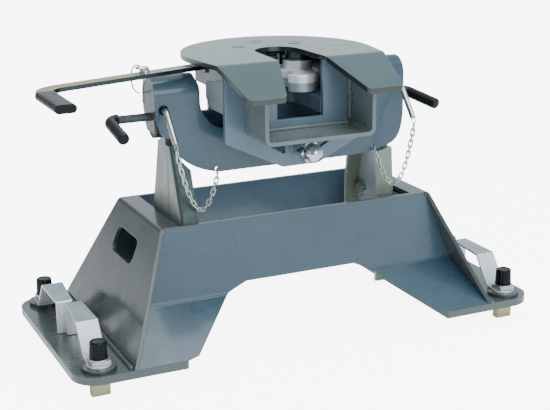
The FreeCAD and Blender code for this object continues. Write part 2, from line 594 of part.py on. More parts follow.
def rear_rib():
    """Low wall round the back edge of the shelf, under the sweep of the handle."""
    plan = [(-101, 84), (-94, 84), (-93, 88), (-79, 99.8), (79, 99.8), (93, 88), (94, 84),
            (101, 84), (99.5, 90), (82, 104), (-82, 104), (-99.5, 90)]
    solid = prism_xy(plan, 400, 444)
    return solid.cut([block(-FAR, -56, 0, FAR, 0, OVERHANG_Z), block(56, FAR, 0, FAR, 0, OVERHANG_Z)])


def side_gusset(side):
    """Small grey cheek plate on the head, with a cut corner."""
    profile = [(FRONT_Y + FRONT_T, 388), (-40, 388), (-22, 402), (-22, 428),
               (FRONT_Y + FRONT_T, 439)]
    x0, x1 = sorted((side * 120, side * 126))
    return prism_yz(profile, x0, x1)


def jaw():
    """Right jaw: front lobe, hub on its pin and tail, bored for half the kingpin."""
    band = JAW_TOP - 13
    lobe = rod((33, -35, JAW_BOTTOM), (33, -35, band), 26.4)
    lobe = lobe.fuse(rod((33, -35, band), (33, -35, JAW_TOP - 1.5), 27.4))
    lobe = lobe.fuse(Part.makeCone(27.4, 25.9, 1.5, V(33, -35, JAW_TOP - 1.5), Z_AXIS))
    hub = rod((JAW_X, JAW_Y, JAW_BOTTOM), (JAW_X, JAW_Y, 443), 24.0)
    bridge = prism_xy([(58, -46), (20, -20), (8, 6), (12, 22), (40, 40), (76, 20)],
                      JAW_BOTTOM, JAW_TOP - 2)
    tail = prism_xy([(36, 30), (58, 40), (33, 72), (19, 68)], JAW_BOTTOM, JAW_TOP - 2)
    post = rod((SPRING_END, SPRING_Y, JAW_TOP - 2), (SPRING_END, SPRING_Y, SPRING_Z + 4), 2.2)
    solid = lobe.fuse([hub, bridge, tail, post]).removeSplitter()
    solid = solid.cut(rod((0, KING_Y, 0), (0, KING_Y, FAR), KING_BORE_R))
    solid = solid.cut(block(-FAR, 1.0, -FAR, FAR, 0, FAR))
    solid = solid.cut(rod((JAW_X, JAW_Y, 0), (JAW_X, JAW_Y, FAR), JAW_PIN_R + RUN_GAP))
    return max(solid.Solids, key=lambda s: s.Volume)


def jaw_pin(side):
    """Shouldered pin: shank through shelf and jaw, flared head up to the skid plate."""
    x = side * JAW_X
    shank = rod((x, JAW_Y, 386), (x, JAW_Y, 443.3), JAW_PIN_R)
    washer = rod((x, JAW_Y, 443.3), (x, JAW_Y, 446.5), 24.5)
    head = Part.makeCone(20.0, 18.0, PLATE_UNDER - 446.5, V(x, JAW_Y, 446.5), Z_AXIS)
    return shank.fuse([washer, head])


def handle():
    """Flat bar: from the cam hub round the jaw pin, out over the ear, then forward."""
    slope = (101.0 - 27.0) / (365.0 - 118.0)
    corner_y = -27.0 - slope * (-118.0 - HANDLE_TIP_X)
    route = [(0, CAM_Y), (-75, 66), (-118, -27), (HANDLE_TIP_X, corner_y),
             (HANDLE_TIP_X, HANDLE_TIP_Y)]
    wire = rounded_route([(x, y, HANDLE_BOTTOM) for x, y in route], [20, 20, 44])
    first = V(-75, 66 - CAM_Y, 0).normalize()
    across = V(-first.y, first.x, 0) * HANDLE_HALF_W
    start = V(0, CAM_Y, HANDLE_BOTTOM)
    lift = V(0, 0, HANDLE_TOP - HANDLE_BOTTOM)
    corners = [start - across, start + across, start + across + lift, start - across + lift]
    profile = Part.makePolygon(corners + [corners[0]])
    bar = wire.makePipeShell([profile], True, False)
    hub = rod((0, CAM_Y, HANDLE_BOTTOM), (0, CAM_Y, HANDLE_TOP), 21)
    bar = bar.fuse(hub).removeSplitter()
    bar = bar.cut(rod((0, CAM_Y, 0), (0, CAM_Y, FAR), CAM_PIVOT_R + RUN_GAP))
    return bar.cut(rod((LOCK_PIN_X, LOCK_PIN_Y, 0), (LOCK_PIN_X, LOCK_PIN_Y, FAR), 4.05))


def handle_sleeve():
    """Soft oval sleeve over the handle's free end."""
    z = (HANDLE_TOP + HANDLE_BOTTOM) / 2
    x, start, end = HANDLE_TIP_X, HANDLE_TIP_Y - 4, -150.0
    half_w, half_h = 15.2, 6.1
    flat = half_w - half_h
    body = block(x - flat, x + flat, start, end, z - half_h, z + half_h)
    sides = [rod((x + s * flat, start, z), (x + s * flat, end, z), half_h) for s in (-1, 1)]
    body = body.fuse(sides).removeSplitter()
    core = block(x - HANDLE_HALF_W, x + HANDLE_HALF_W, HANDLE_TIP_Y, 0, HANDLE_BOTTOM, HANDLE_TOP)
    return body.cut(core)


def cam():
    """Cam under the handle's hub, over the jaw tails."""
    plate = prism_xy([(-17, CAM_Y - 16), (17, CAM_Y - 16), (15, CAM_Y), (-15, CAM_Y)], 432, 446)
    disc = rod((0, CAM_Y, 432), (0, CAM_Y, HANDLE_BOTTOM), 19)
    solid = plate.fuse(disc).removeSplitter()
    return solid.cut(rod((0, CAM_Y, 0), (0, CAM_Y, FAR), CAM_PIVOT_R + RUN_GAP))


def jaw_spring():
    """Coil spring between the posts on the two jaw tails."""
    reach = SPRING_END - 3.5
    coil = Part.makeHelix(2.9, 2 * reach, 4.4)
    coil.Placement = FreeCAD.Placement(V(-reach, SPRING_Y, SPRING_Z),
                                       FreeCAD.Rotation(Z_AXIS, X_AXIS))
    start = coil.Edges[0].valueAt(coil.Edges[0].FirstParameter)
    tangent = coil.Edges[0].tangentAt(coil.Edges[0].FirstParameter)
    circle = Part.Wire(Part.makeCircle(0.9, start, tangent))
    return coil.makePipeShell([circle], True, True)


def roll_pin():
    shank = rod((0, FRONT_Y - 18, ROLL_Z), (0, BACK_Y + FRONT_T, ROLL_Z), ROLL_PIN_R)
    thread = rod((0, FRONT_Y - 40, ROLL_Z), (0, FRONT_Y - 18, ROLL_Z), 9.5)
    return shank.fuse(thread).removeSplitter()


def acorn_nut():
    """Closed hex nut on the front end of the roll pin."""
    seat = FRONT_Y - 18
    nut = hexagon((0, seat - 20, ROLL_Z), (0, seat, ROLL_Z), 30)
    dome = rod((0, seat - 27, ROLL_Z), (0, seat - 19, ROLL_Z), 15)
    dome = dome.fuse(Part.makeSphere(15, V(0, seat - 27, ROLL_Z)))
    solid = nut.fuse(dome.common(block(-FAR, FAR, -FAR, seat - 19, 0, FAR))).removeSplitter()
    return solid.cut(rod((0, FRONT_Y - 40, ROLL_Z), (0, FAR, ROLL_Z), 9.5))


def kingpin_guide():
    """Wall under the shelf that follows the kingpin slot: two straight sides and a round back."""
    low, high, start = 376.0, 392.0, FRONT_Y + FRONT_T
    solid = rod((0, KING_Y, low), (0, KING_Y, high), 44).fuse(block(-44, 44, start, KING_Y, low, high))
    slot = rod((0, KING_Y, 0), (0, KING_Y, FAR), 38.4).fuse(block(-38.4, 38.4, -FAR, KING_Y, 0, FAR))
    return solid.cut(slot).removeSplitter()


def lock_tether():
    """Thin wire from the lock pin's ring, over the back of the bar and down behind the ear."""
    line = Part.BSplineCurve()
    line.interpolate([V(*p) for p in TETHER_POINTS])
    path = Part.Wire([line.toShape()])
    first, way = line.value(line.FirstParameter), line.tangent(line.FirstParameter)[0]
    return path.makePipeShell([Part.Wire(Part.makeCircle(1.1, first, way))], True, False)


def make_head():
    save("skid_plate", top_plate())
    save("head_front_plate", head_front_plate())
    save("kingpin_box", kingpin_box().cut(top_plate()))
    save("head_back_plate", head_back_plate())
    save("jaw_floor", jaw_floor())
    save("roll_pin", roll_pin())
    back = BACK_Y + FRONT_T
    save("roll_pin_nuts", acorn_nut(), hexagon((0, back, ROLL_Z), (0, back + 14, ROLL_Z), 40))
    save("cam_pivot", rod((0, CAM_Y, 386), (0, CAM_Y, PLATE_UNDER), CAM_PIVOT_R))
    save("head_ribs", head_rib(-1), head_rib(1), rear_rib())
    save("side_gussets", side_gusset(-1), side_gusset(1))
    right = jaw()
    for name, side in SIDES:
        save("jaw_pin_" + name, jaw_pin(side))
        save("jaw_" + name, right if side > 0 else right.mirror(V(0, 0, 0), X_AXIS))
    save("jaw_spring", jaw_spring())
    save("cam", cam())
    save("handle_bar", handle())
    save("handle_sleeve", handle_sleeve())
    bolt = hexagon((-130, -33, HANDLE_TOP), (-130, -33, HANDLE_TOP + 1.2), 13)
    save("handle_bolt", bolt, hexagon((-130, -33, 444), (-130, -33, HANDLE_BOTTOM), 13))
    save("kingpin_guide", kingpin_guide())
    pin = rod((LOCK_PIN_X, LOCK_PIN_Y, 446), (LOCK_PIN_X, LOCK_PIN_Y, HANDLE_TOP + 1), 4.0)
    head = rod((LOCK_PIN_X, LOCK_PIN_Y, HANDLE_TOP), (LOCK_PIN_X, LOCK_PIN_Y, 462), 7.5)
    save("lock_pin", pin.fuse(head).removeSplitter())
    ring_at = V(LOCK_PIN_X - 2, LOCK_PIN_Y + 6, 463.3)
    save("lock_ring", Part.makeTorus(9, 1.2, ring_at, Z_AXIS), lock_tether())


os.makedirs("parts", exist_ok=True)
make_base()
make_locks()
make_cradle()
make_head()
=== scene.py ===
import json
import math

import bmesh
import bpy
from mathutils import Matrix, Quaternion, Vector


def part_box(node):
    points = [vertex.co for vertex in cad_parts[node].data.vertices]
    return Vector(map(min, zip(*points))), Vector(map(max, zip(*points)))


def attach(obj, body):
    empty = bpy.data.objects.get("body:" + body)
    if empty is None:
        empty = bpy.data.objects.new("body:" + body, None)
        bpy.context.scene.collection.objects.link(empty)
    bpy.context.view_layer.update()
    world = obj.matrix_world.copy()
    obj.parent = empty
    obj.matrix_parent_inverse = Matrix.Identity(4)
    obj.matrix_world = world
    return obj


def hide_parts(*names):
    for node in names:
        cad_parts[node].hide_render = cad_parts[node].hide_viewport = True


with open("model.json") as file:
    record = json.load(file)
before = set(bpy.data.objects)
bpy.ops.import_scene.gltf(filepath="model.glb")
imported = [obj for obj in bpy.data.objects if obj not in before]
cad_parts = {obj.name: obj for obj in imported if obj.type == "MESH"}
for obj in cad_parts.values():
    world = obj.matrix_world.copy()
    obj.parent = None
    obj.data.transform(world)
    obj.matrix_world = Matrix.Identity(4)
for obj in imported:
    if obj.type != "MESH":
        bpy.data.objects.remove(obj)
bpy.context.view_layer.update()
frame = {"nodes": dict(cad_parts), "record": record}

nodes = frame["nodes"]
scene = bpy.context.scene
SIDES = (("left", -1), ("right", 1))
MM = 0.001
BODY_OF = {node: body for body, members in frame["record"]["behaviour"]["bodies"].items()
           for node in members}

# finishes that differ from the node's slot in the record, and the slots that they stand for
OTHER_FINISH = {"base_back_plate": "paint_dark", "head_ribs": "paint", "kingpin_box": "paint_box",
                "foot_plate_left": "paint_foot", "foot_plate_right": "paint_foot",
                "ear_plate_left": "paint_cheek", "ear_plate_right": "paint_cheek",
                "upright_left": "zinc_left", "upright_right": "zinc_right"}

# camera and studio, in metres, radians and watts
CAMERA_PLACE = (-0.8270, -1.7918, 0.7830)
CAMERA_YAW, CAMERA_PITCH, CAMERA_ROLL = 0.433, 0.285, -0.010
CAMERA_LENS, CAMERA_SENSOR = 81.1, 36.0
LAMP_COLOUR = (0.90, 0.98, 1.0)
LAMPS = (("key", (0.3, -3.0, 1.3), (0, 0, 0.22), (1.8, 1.2), 29),
         ("top", (0.1, -0.8, 2.6), (0, 0, 0.2), (2.2, 1.4), 44),
         ("side", (-2.4, -0.6, 1.5), (0, 0, 0.2), (1.2, 1.2), 8))
SKY_STRENGTH = 1.2
SKY_BY_HEIGHT = ((0.0, (0.93, 0.98, 1.0)), (0.34, (0.84, 0.95, 1.0)),
                 (0.60, (0.61, 0.71, 0.78)), (1.0, (0.74, 0.85, 0.92)))
SKY_BY_SIDE = ((0.0, (0.33, 0.33, 0.33)), (0.38, (0.33, 0.33, 0.33)),
               (0.60, (0.97, 1.0, 1.0)), (1.0, (0.90, 0.96, 1.0)))
FLOOR_HALF, FLOOR_GLOW, FLOOR_SEEN = 14.0, 0.60, 7.0

# places on the hitch, in millimetres
TROUGH_RIM_Z = 223.1
JAW_BAND_Z = 416.5
ANCHOR_BLOCK_TOP_Z = 29.0
FOOT_WELD_X, FOOT_WELD_HALF_Y, FOOT_WELD_Z = 314.6, 178.0, 41.6
BOX_WELD_X, BOX_WELD_Y = 85.6, -101.6
SLEEVE_WELD_AT, SLEEVE_WELD_R = (0, -43.6, 325), 20.4
PLUG_WELD_XY, SKID_TOP_Z = ((-41.8, 41.8), (8.1, 80.0), (55.8, 35.8)), 466.0
PUNCH_X, PUNCH_Y, PUNCH_Z = 357.1, 159.0, 8.0
PIN_RINGS = (("left", -204.0), ("right", 208.0))
HOOK_RINGS = (("left", -118.7, 291.5), ("right", 162.5, 296.5))
RING_SIDES = 10

# Graph.facing limits, on the Z axis, for faces that stand upright or nearly so
STEEP = (0.62, 0.45)


# ------------------------------------------------------------------ camera, floor, light
def look_camera():
    """Three-quarter camera in front of the hitch, to its left and a little above."""
    data = bpy.data.cameras.new("camera")
    data.lens = CAMERA_LENS
    data.sensor_width = CAMERA_SENSOR
    data.clip_start, data.clip_end = 0.05, 50.0
    cam = bpy.data.objects.new("camera", data)
    scene.collection.objects.link(cam)
    level = math.cos(CAMERA_PITCH)
    ahead = Vector((math.sin(CAMERA_YAW) * level, math.cos(CAMERA_YAW) * level,
                    -math.sin(CAMERA_PITCH)))
    turn = ahead.to_track_quat("-Z", "Y") @ Quaternion((0, 0, 1), CAMERA_ROLL)
    cam.matrix_world = Matrix.Translation(CAMERA_PLACE) @ turn.to_matrix().to_4x4()
    scene.camera = cam


def area_light(name, place, target, size, power):
    data = bpy.data.lights.new(name, "AREA")
    data.shape = "RECTANGLE"
    data.size, data.size_y = size
    data.energy = power
    data.color = LAMP_COLOUR
    lamp = bpy.data.objects.new(name, data)
    scene.collection.objects.link(lamp)
    turn = (Vector(target) - Vector(place)).to_track_quat("-Z", "Y")
    lamp.matrix_world = Matrix.Translation(place) @ turn.to_matrix().to_4x4()


def sky():
    """Bright low round the horizon, dimmer overhead, dark off to the left."""
    world = bpy.data.worlds.new("studio")
    world.use_nodes = True
    g = Graph(world, "Generated")
    rise = g.ramp(g.span(g.axis("Z"), 0.0, 1.0, 0.0, 1.0), SKY_BY_HEIGHT)
    turn = g.ramp(g.span(g.axis("X"), 0.0, 1.0, -1.0, 1.0), SKY_BY_SIDE)
    both = g.add("ShaderNodeVectorMath", operation="MULTIPLY")
    g.wire(rise, both.inputs[0])
    g.wire(turn, both.inputs[1])
    back = world.node_tree.nodes["Background"]
    g.wire(both.outputs[0], back.inputs["Color"])
    back.inputs["Strength"].default_value = SKY_STRENGTH
    scene.world = world


def floor():
    """Wide pale floor, nearly white to the eye but only a mild glow on the object."""
    mesh = bpy.data.meshes.new("floor")
    s = FLOOR_HALF
    mesh.from_pydata([(-s, -s, 0), (s, -s, 0), (s, s, 0), (-s, s, 0)], [], [(0, 1, 2, 3)])
    thing = bpy.data.objects.new("floor", mesh)
    scene.collection.objects.link(thing)
    mat, bsdf = shader("floor_white", (0.92, 0.92, 0.92), 0.95, 0.0, spec=0.0)
    bsdf.inputs["Emission Color"].default_value = (1, 1, 1, 1)
    g = Graph(mat)
    seen = g.add("ShaderNodeLightPath").outputs["Is Camera Ray"]
    g.wire(g.span(seen, FLOOR_GLOW, FLOOR_SEEN, 0.0, 1.0), bsdf.inputs["Emission Strength"])
    mesh.materials.append(mat)


def studio():
    sky()
    for lamp in LAMPS:
        area_light(*lamp)
    floor()


# ------------------------------------------------------------------ materials
class Graph:
    """Small helper that strings shader nodes together, for a material or a world."""

    def __init__(self, owner, space="Object"):
        self.tree = owner.node_tree
        self.place = self.add("ShaderNodeTexCoord").outputs[space]

    def add(self, kind, **props):
        node = self.tree.nodes.new(kind)
        for key, value in props.items():
            setattr(node, key, value)
        return node

    def wire(self, out, socket):
        self.tree.links.new(out, socket)

    def axis(self, name):
        """One coordinate of the point."""
        node = self.add("ShaderNodeSeparateXYZ")
        self.wire(self.place, node.inputs[0])
        return node.outputs[name]

    def facing(self, axis, none, full):
        """Mask by how squarely a face looks along an axis: nought at none, one at full."""
        split = self.add("ShaderNodeSeparateXYZ")
        self.wire(self.add("ShaderNodeNewGeometry").outputs["Normal"], split.inputs[0])
        size = self.add("ShaderNodeMath", operation="ABSOLUTE")
        self.wire(split.outputs[axis], size.inputs[0])
        return self.span(size.outputs[0], 0.0, 1.0, none, full)

    def noise(self, scale, detail=3.0, rough=0.55, stretch=(1, 1, 1), distort=0.0):
        """Soft noise; stretch multiplies the coordinates, so less than one draws it out."""
        where = self.place
        if stretch != (1, 1, 1):
            mapping = self.add("ShaderNodeMapping")
            mapping.inputs["Scale"].default_value = stretch
            self.wire(where, mapping.inputs["Vector"])
            where = mapping.outputs["Vector"]
        tex = self.add("ShaderNodeTexNoise")
        tex.inputs["Scale"].default_value = scale
        tex.inputs["Detail"].default_value = detail
        tex.inputs["Roughness"].default_value = rough
        tex.inputs["Distortion"].default_value = distort
        self.wire(where, tex.inputs["Vector"])
        return tex.outputs["Fac"]

    def ramp(self, value, stops):
        """Colours blended along a value, from stops of place and colour."""
        node = self.add("ShaderNodeValToRGB")
        ramp = node.color_ramp
        while len(ramp.elements) < len(stops):
            ramp.elements.new(0.5)
        for element, (at, colour) in zip(ramp.elements, stops):
            element.position = at
            element.color = (*colour, 1)
        self.wire(value, node.inputs["Fac"])
        return node.outputs["Color"]

    def span(self, value, low, high, start=0.3, end=0.7):
        """Map start to end of a value on low to high, clamped."""
        node = self.add("ShaderNodeMapRange")
        node.inputs["From Min"].default_value = start
        node.inputs["From Max"].default_value = end
        node.inputs["To Min"].default_value = low
        node.inputs["To Max"].default_value = high
        self.wire(value, node.inputs["Value"])
        return node.outputs["Result"]

    def times(self, a, b):
        node = self.add("ShaderNodeMath", operation="MULTIPLY")
        self.wire(a, node.inputs[0])
        self.wire(b, node.inputs[1])
        return node.outputs[0]

    def mix(self, fac, a, b):
        node = self.add("ShaderNodeMix", data_type="RGBA")
        self.wire(fac, node.inputs["Factor"])
        for sock, value in ((node.inputs[6], a), (node.inputs[7], b)):
            if isinstance(value, tuple):
                sock.default_value = (*value, 1)
            else:
                self.wire(value, sock)
        return node.outputs[2]

    def rounded(self, radius):
        """Normal with the sharp edges rounded off by radius, and a mask of those edges."""
        node = self.add("ShaderNodeBevel", samples=4)
        node.inputs["Radius"].default_value = radius
        dot = self.add("ShaderNodeVectorMath", operation="DOT_PRODUCT")
        self.wire(node.outputs["Normal"], dot.inputs[0])
        self.wire(self.add("ShaderNodeNewGeometry").outputs["Normal"], dot.inputs[1])
        return node.outputs["Normal"], self.span(dot.outputs["Value"], 1.0, 0.0, 0.80, 0.99)

    def bump(self, height, strength, distance, below=None):
        node = self.add("ShaderNodeBump")
        node.inputs["Strength"].default_value = strength
        node.inputs["Distance"].default_value = distance
        self.wire(height, node.inputs["Height"])
        if below is not None:
            self.wire(below, node.inputs["Normal"])
        return node.outputs["Normal"]


def shader(name, colour, rough, metal, coat=0.0, spec=0.5):
    mat = bpy.data.materials.new(name)
    mat.use_nodes = True
    mat.diffuse_color = (*colour, 1)
    bsdf = mat.node_tree.nodes["Principled BSDF"]
    bsdf.inputs["Base Color"].default_value = (*colour, 1)
    bsdf.inputs["Roughness"].default_value = rough
    bsdf.inputs["Metallic"].default_value = metal
    bsdf.inputs["Specular IOR Level"].default_value = spec
    bsdf.inputs["Coat Weight"].default_value = coat
    bsdf.inputs["Coat Roughness"].default_value = 0.10
    return mat, bsdf


def shade(colour, k):
    return tuple(min(1.0, c * k) for c in colour)


def paint(name, colour, rough=0.29, coat=0.4, rim_reflection_z=None, shaded_sides=None):
    """Gloss coat: slow drift of tone, light edges that are partly wear and partly a painted
    highlight, orange-peel skin.

    The rim height argument marks the trough's top rim, which gets a thin tan band: a painted warm
    reflection.
    The sides argument dims the tone on steep faces, as painted shade.
    """
    mat, bsdf = shader(name, colour, rough, 0.0, coat)
    g = Graph(mat)
    tone = g.ramp(g.noise(9.0, 4.0, 0.6), [(0.3, shade(colour, 0.9)), (0.7, shade(colour, 1.1))])
    normal, edge = g.rounded(0.0012)
    # edges lightened in patches: partly wear, partly a painted highlight
    tone = g.mix(g.times(edge, g.span(g.noise(60.0, 3.0), 0.2, 0.8)), tone, shade(colour, 2.1))
    # thin tan band at the rim height: painted warm reflection on the top edge of the trough plates
    if rim_reflection_z is not None:
        height = g.axis("Z")
        rim = g.times(g.span(height, 0.0, 0.85, rim_reflection_z - 0.0004, rim_reflection_z),
                      g.span(height, 1.0, 0.0, rim_reflection_z + 0.001, rim_reflection_z + 0.002))
        tone = g.mix(rim, tone, (0.120, 0.110, 0.080))
    # steep faces darkened: painted shade
    if shaded_sides is not None:
        tone = g.mix(g.facing("Z", *STEEP), tone, shade(colour, shaded_sides))
    g.wire(tone, bsdf.inputs["Base Color"])
    g.wire(g.span(g.noise(30.0, 4.0), rough - 0.05, rough + 0.08), bsdf.inputs["Roughness"])
    skin = g.bump(g.noise(38.0, 2.0, 0.4), 0.04, 0.002, normal)
    g.wire(skin, bsdf.inputs["Normal"])
    g.wire(skin, bsdf.inputs["Coat Normal"])
    return mat


def plated(name, colour, tint, rough=0.30, grain=(1, 1, 1), metal=1.0, stain=None,
           beyond=None, faces=None):
    """Zinc or bare metal: drifting tint, fine drawn grain, edges brightened as a painted
    highlight.

    stain is the colour of thin upright runs.
    beyond changes the tone past one coordinate: axis, start, width, colour.
    faces changes it on faces that look one way: axis, none, full, colour.
    """
    mat, bsdf = shader(name, colour, rough, metal)
    g = Graph(mat)
    drift = g.noise(22.0, 4.0, 0.6, distort=0.6)
    tone = g.ramp(drift, [(0.30, shade(colour, 0.78)), (0.55, colour), (0.75, tint)])
    lines = g.noise(180.0, 3.0, 0.6, grain)
    tone = g.mix(g.span(lines, 0.0, 0.35), tone, shade(colour, 0.70))
    if stain is not None:
        runs = g.noise(46.0, 3.0, 0.5, (1.0, 1.0, 0.06), 0.4)
        tone = g.mix(g.span(runs, 0.0, 0.75, 0.56, 0.68), tone, stain)
    if beyond is not None:
        axis, start, width, other = beyond
        tone = g.mix(g.span(g.axis(axis), 0.0, 1.0, start, start + width), tone, other)
    if faces is not None:
        axis, none, full, other = faces
        tone = g.mix(g.facing(axis, none, full), tone, other)
    normal, edge = g.rounded(0.0008)
    # edges brightened: painted highlight
    tone = g.mix(edge, tone, shade(colour, 1.35))
    g.wire(tone, bsdf.inputs["Base Color"])
    g.wire(g.span(lines, rough - 0.07, rough + 0.12), bsdf.inputs["Roughness"])
    g.wire(g.bump(lines, 0.10, 0.0004, normal), bsdf.inputs["Normal"])
    return mat


def soft_black(name, colour, rough, scale=900.0, depth=0.25, spec=0.5, matt_sides=False):
    """Moulded rubber, vinyl or plastic with a fine matt grain; matt_sides dulls steep faces."""
    mat, bsdf = shader(name, colour, rough, 0.0, spec=spec)
    g = Graph(mat)
    tone = g.ramp(g.noise(40.0, 3.0), [(0.3, shade(colour, 0.7)), (0.7, shade(colour, 1.4))])
    g.wire(tone, bsdf.inputs["Base Color"])
    g.wire(g.span(g.noise(120.0, 3.0), rough - 0.07, rough + 0.1), bsdf.inputs["Roughness"])
    g.wire(g.bump(g.noise(scale, 2.0, 0.6), depth, 0.0004), bsdf.inputs["Normal"])
    if matt_sides:
        level = g.span(g.facing("Z", *STEEP), spec, 0.35 * spec, 0.0, 1.0)
        g.wire(level, bsdf.inputs["Specular IOR Level"])
    return mat


def make_materials():
    return {
        "paint": paint("paint", (0.036, 0.074, 0.106), rim_reflection_z=TROUGH_RIM_Z * MM),
        # paint_panel, paint_foot and paint_top: the one blue paint greyed and set lighter or
        # darker per part as each looks under the light: painted light and shade
        "paint_panel": paint("paint_panel", (0.040, 0.050, 0.053), 0.22, 0.3),
        "paint_foot": paint("paint_foot", (0.078, 0.098, 0.100), 0.24, 0.4),
        "paint_cheek": paint("paint_cheek", (0.046, 0.048, 0.044), 0.26, 0.2),
        # paint_dark: the blue paint made lighter for parts in shade inside and under the hitch,
        # such as the back plate: painted fill light
        "paint_dark": paint("paint_dark", (0.098, 0.148, 0.202)),
        # paint_box: a lighter, greyer copy of the blue paint for the kingpin box, painted fill
        # light in its shaded hollow
        "paint_box": paint("paint_box", (0.120, 0.150, 0.150)),
        # paint_top: its steep rim faces get painted shade
        "paint_top": paint("paint_top", (0.056, 0.094, 0.098), 0.30, 0.7, shaded_sides=0.22),
        "grey_cheek": paint("grey_cheek", (0.26, 0.31, 0.32), 0.4, 0.2),
        # left upright: faces looking along Y darkened as painted shade; the brown upright runs are
        # stain
        "zinc_left": plated("zinc_left", (0.34, 0.38, 0.36), (0.40, 0.39, 0.31), 0.40,
                            (1, 1, 0.15), 0.5, stain=(0.26, 0.20, 0.12),
                            faces=("Y", 0.35, 0.60, (0.045, 0.070, 0.070))),
        # right upright: a lighter copy of the same zinc, painted light for an upright in shade;
        # faces looking along Y darkened as painted shade
        "zinc_right": plated("zinc_right", (0.54, 0.62, 0.64), (0.56, 0.58, 0.52), 0.42,
                             (1, 1, 0.15), 0.4, faces=("Y", 0.50, 0.75, (0.27, 0.30, 0.24))),
        "zinc_bright": plated("zinc_bright", (0.62, 0.64, 0.64), (0.66, 0.64, 0.56), 0.24),
        # handle bar: golden to the left of x = -0.27 m as a painted warm reflection, bluish grey
        # beyond it; steep sides darkened as painted shade
        "zinc_bar": plated("zinc_bar", (0.60, 0.42, 0.16), (0.66, 0.50, 0.24), 0.26,
                           (0.15, 1, 1), beyond=("X", -0.27, 0.06, (0.34, 0.42, 0.41)),
                           faces=("Z", *STEEP, (0.05, 0.065, 0.075))),
        # straps: steep legs turned near white, a painted highlight
        "zinc_strap": plated("zinc_strap", (0.42, 0.48, 0.52), (0.38, 0.45, 0.51), 0.28,
                             (1, 0.1, 0.1), 0.45, faces=("Z", 0.92, 0.78, (0.98, 0.99, 1.0))),
        "zinc_yellow": plated("zinc_yellow", (0.46, 0.45, 0.27), (0.52, 0.41, 0.24), 0.40,
                              beyond=("Z", ANCHOR_BLOCK_TOP_Z * MM, MM, (0.62, 0.63, 0.60))),
        "collar_brown": plated("collar_brown", (0.20, 0.15, 0.10), (0.26, 0.19, 0.12), 0.45),
        "chrome": plated("chrome", (0.72, 0.74, 0.77), (0.80, 0.80, 0.80), 0.10),
        "dark_steel": plated("dark_steel", (0.10, 0.12, 0.14), (0.18, 0.17, 0.15), 0.36),
        # jaws: near-white band above JAW_BAND_Z, a painted highlight
        "machined": plated("machined", (0.40, 0.48, 0.52), (0.44, 0.48, 0.48), 0.36,
                           (1, 1, 6), 0.35,
                           beyond=("Z", JAW_BAND_Z * MM, 0.0006, (0.92, 0.95, 0.97))),
        "spring_steel": plated("spring_steel", (0.26, 0.28, 0.30), (0.34, 0.33, 0.30), 0.30),
        "urethane": soft_black("urethane", (0.008, 0.008, 0.010), 0.50),
        "vinyl": soft_black("vinyl", (0.008, 0.010, 0.011), 0.34, 500.0, 0.05, 0.5, True),
        "cap_black": soft_black("cap_black", (0.003, 0.004, 0.005), 0.18, 500.0, 0.04, 0.2),
        "black_bar": soft_black("black_bar", (0.030, 0.040, 0.048), 0.36),
    }


mats = make_materials()


def dress_nodes():
    """Every CAD node keeps its shape and gets its finish."""
    for part in frame["record"]["subparts"]:
        thing = nodes[part["node"]]
        finish = mats[OTHER_FINISH.get(part["node"], part["material_slot"])]
        if not thing.material_slots:
            thing.data.materials.append(finish)
        for held in thing.material_slots:
            held.material = finish


# ------------------------------------------------------------------ pieces
def piece(name, bm, body, slot):
    """Finish a mesh as a visible piece that rides on a body."""
    bmesh.ops.remove_doubles(bm, verts=bm.verts, dist=1e-6)
    bmesh.ops.recalc_face_normals(bm, faces=bm.faces)
    mesh = bpy.data.meshes.new(name)
    bm.to_mesh(mesh)
    bm.free()
    for poly in mesh.polygons:
        poly.use_smooth = True
    mesh.set_sharp_from_angle(angle=math.radians(38))
    thing = bpy.data.objects.new(name, mesh)
    scene.collection.objects.link(thing)
    mesh.materials.append(mats[slot])
    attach(thing, body)
    return thing


def skin(bm, rings, closed):
    """Join rings of points into one skin; closed joins the last to the first, or else both
    ends are capped."""
    rows = [[bm.verts.new(p) for p in ring] for ring in rings]
    n = len(rows[0])
    for a, b in zip(rows, rows[1:] + rows[:1] if closed else rows[1:]):
        for i in range(n):
            bm.faces.new((a[i], a[(i + 1) % n], b[(i + 1) % n], b[i]))
    if not closed:
        bm.faces.new(list(reversed(rows[0])))
        bm.faces.new(rows[-1])


def section(centre, side, lift, radius):
    """Points of a small circle round centre, in the plane of side and lift."""
    turns = [2 * math.pi * k / RING_SIDES for k in range(RING_SIDES)]
    return [centre + side * (radius * math.cos(t)) + lift * (radius * math.sin(t)) for t in turns]


def along(points, step):
    """Points every step metres along a polyline."""
    pts = [Vector(p) for p in points]
    found = []
    for a, b in zip(pts, pts[1:]):
        count = max(2, round((b - a).length / step))
        found += [a.lerp(b, i / count) for i in range(count)]
    return found + [pts[-1]]


def bead(name, points, radius, body, slot):
    """Weld bead: a run of overlapping ripples along a joint."""
    path = along([tuple(c * MM for c in p) for p in points], 0.0009)
    up = Vector((0.31, 0.23, 0.92)).normalized()
    rings = []
    for i, p in enumerate(path):
        ripple = abs(math.sin(i * 0.9 * math.pi / 3.6))
        wander = 0.06 * math.sin(i * 0.21) + 0.04 * math.sin(i * 0.083 + 1.0)
        taper = min(1.0, 0.35 + 0.2 * min(i, len(path) - 1 - i))
        swell = radius * MM * taper * (0.86 + 0.16 * ripple + wander)
        ahead = path[min(i + 1, len(path) - 1)] - path[max(i - 1, 0)]
        side = ahead.cross(up).normalized()
        rings.append(section(p, side, side.cross(ahead).normalized(), swell))
    bm = bmesh.new()
    skin(bm, rings, False)
    return piece(name, bm, body, slot)


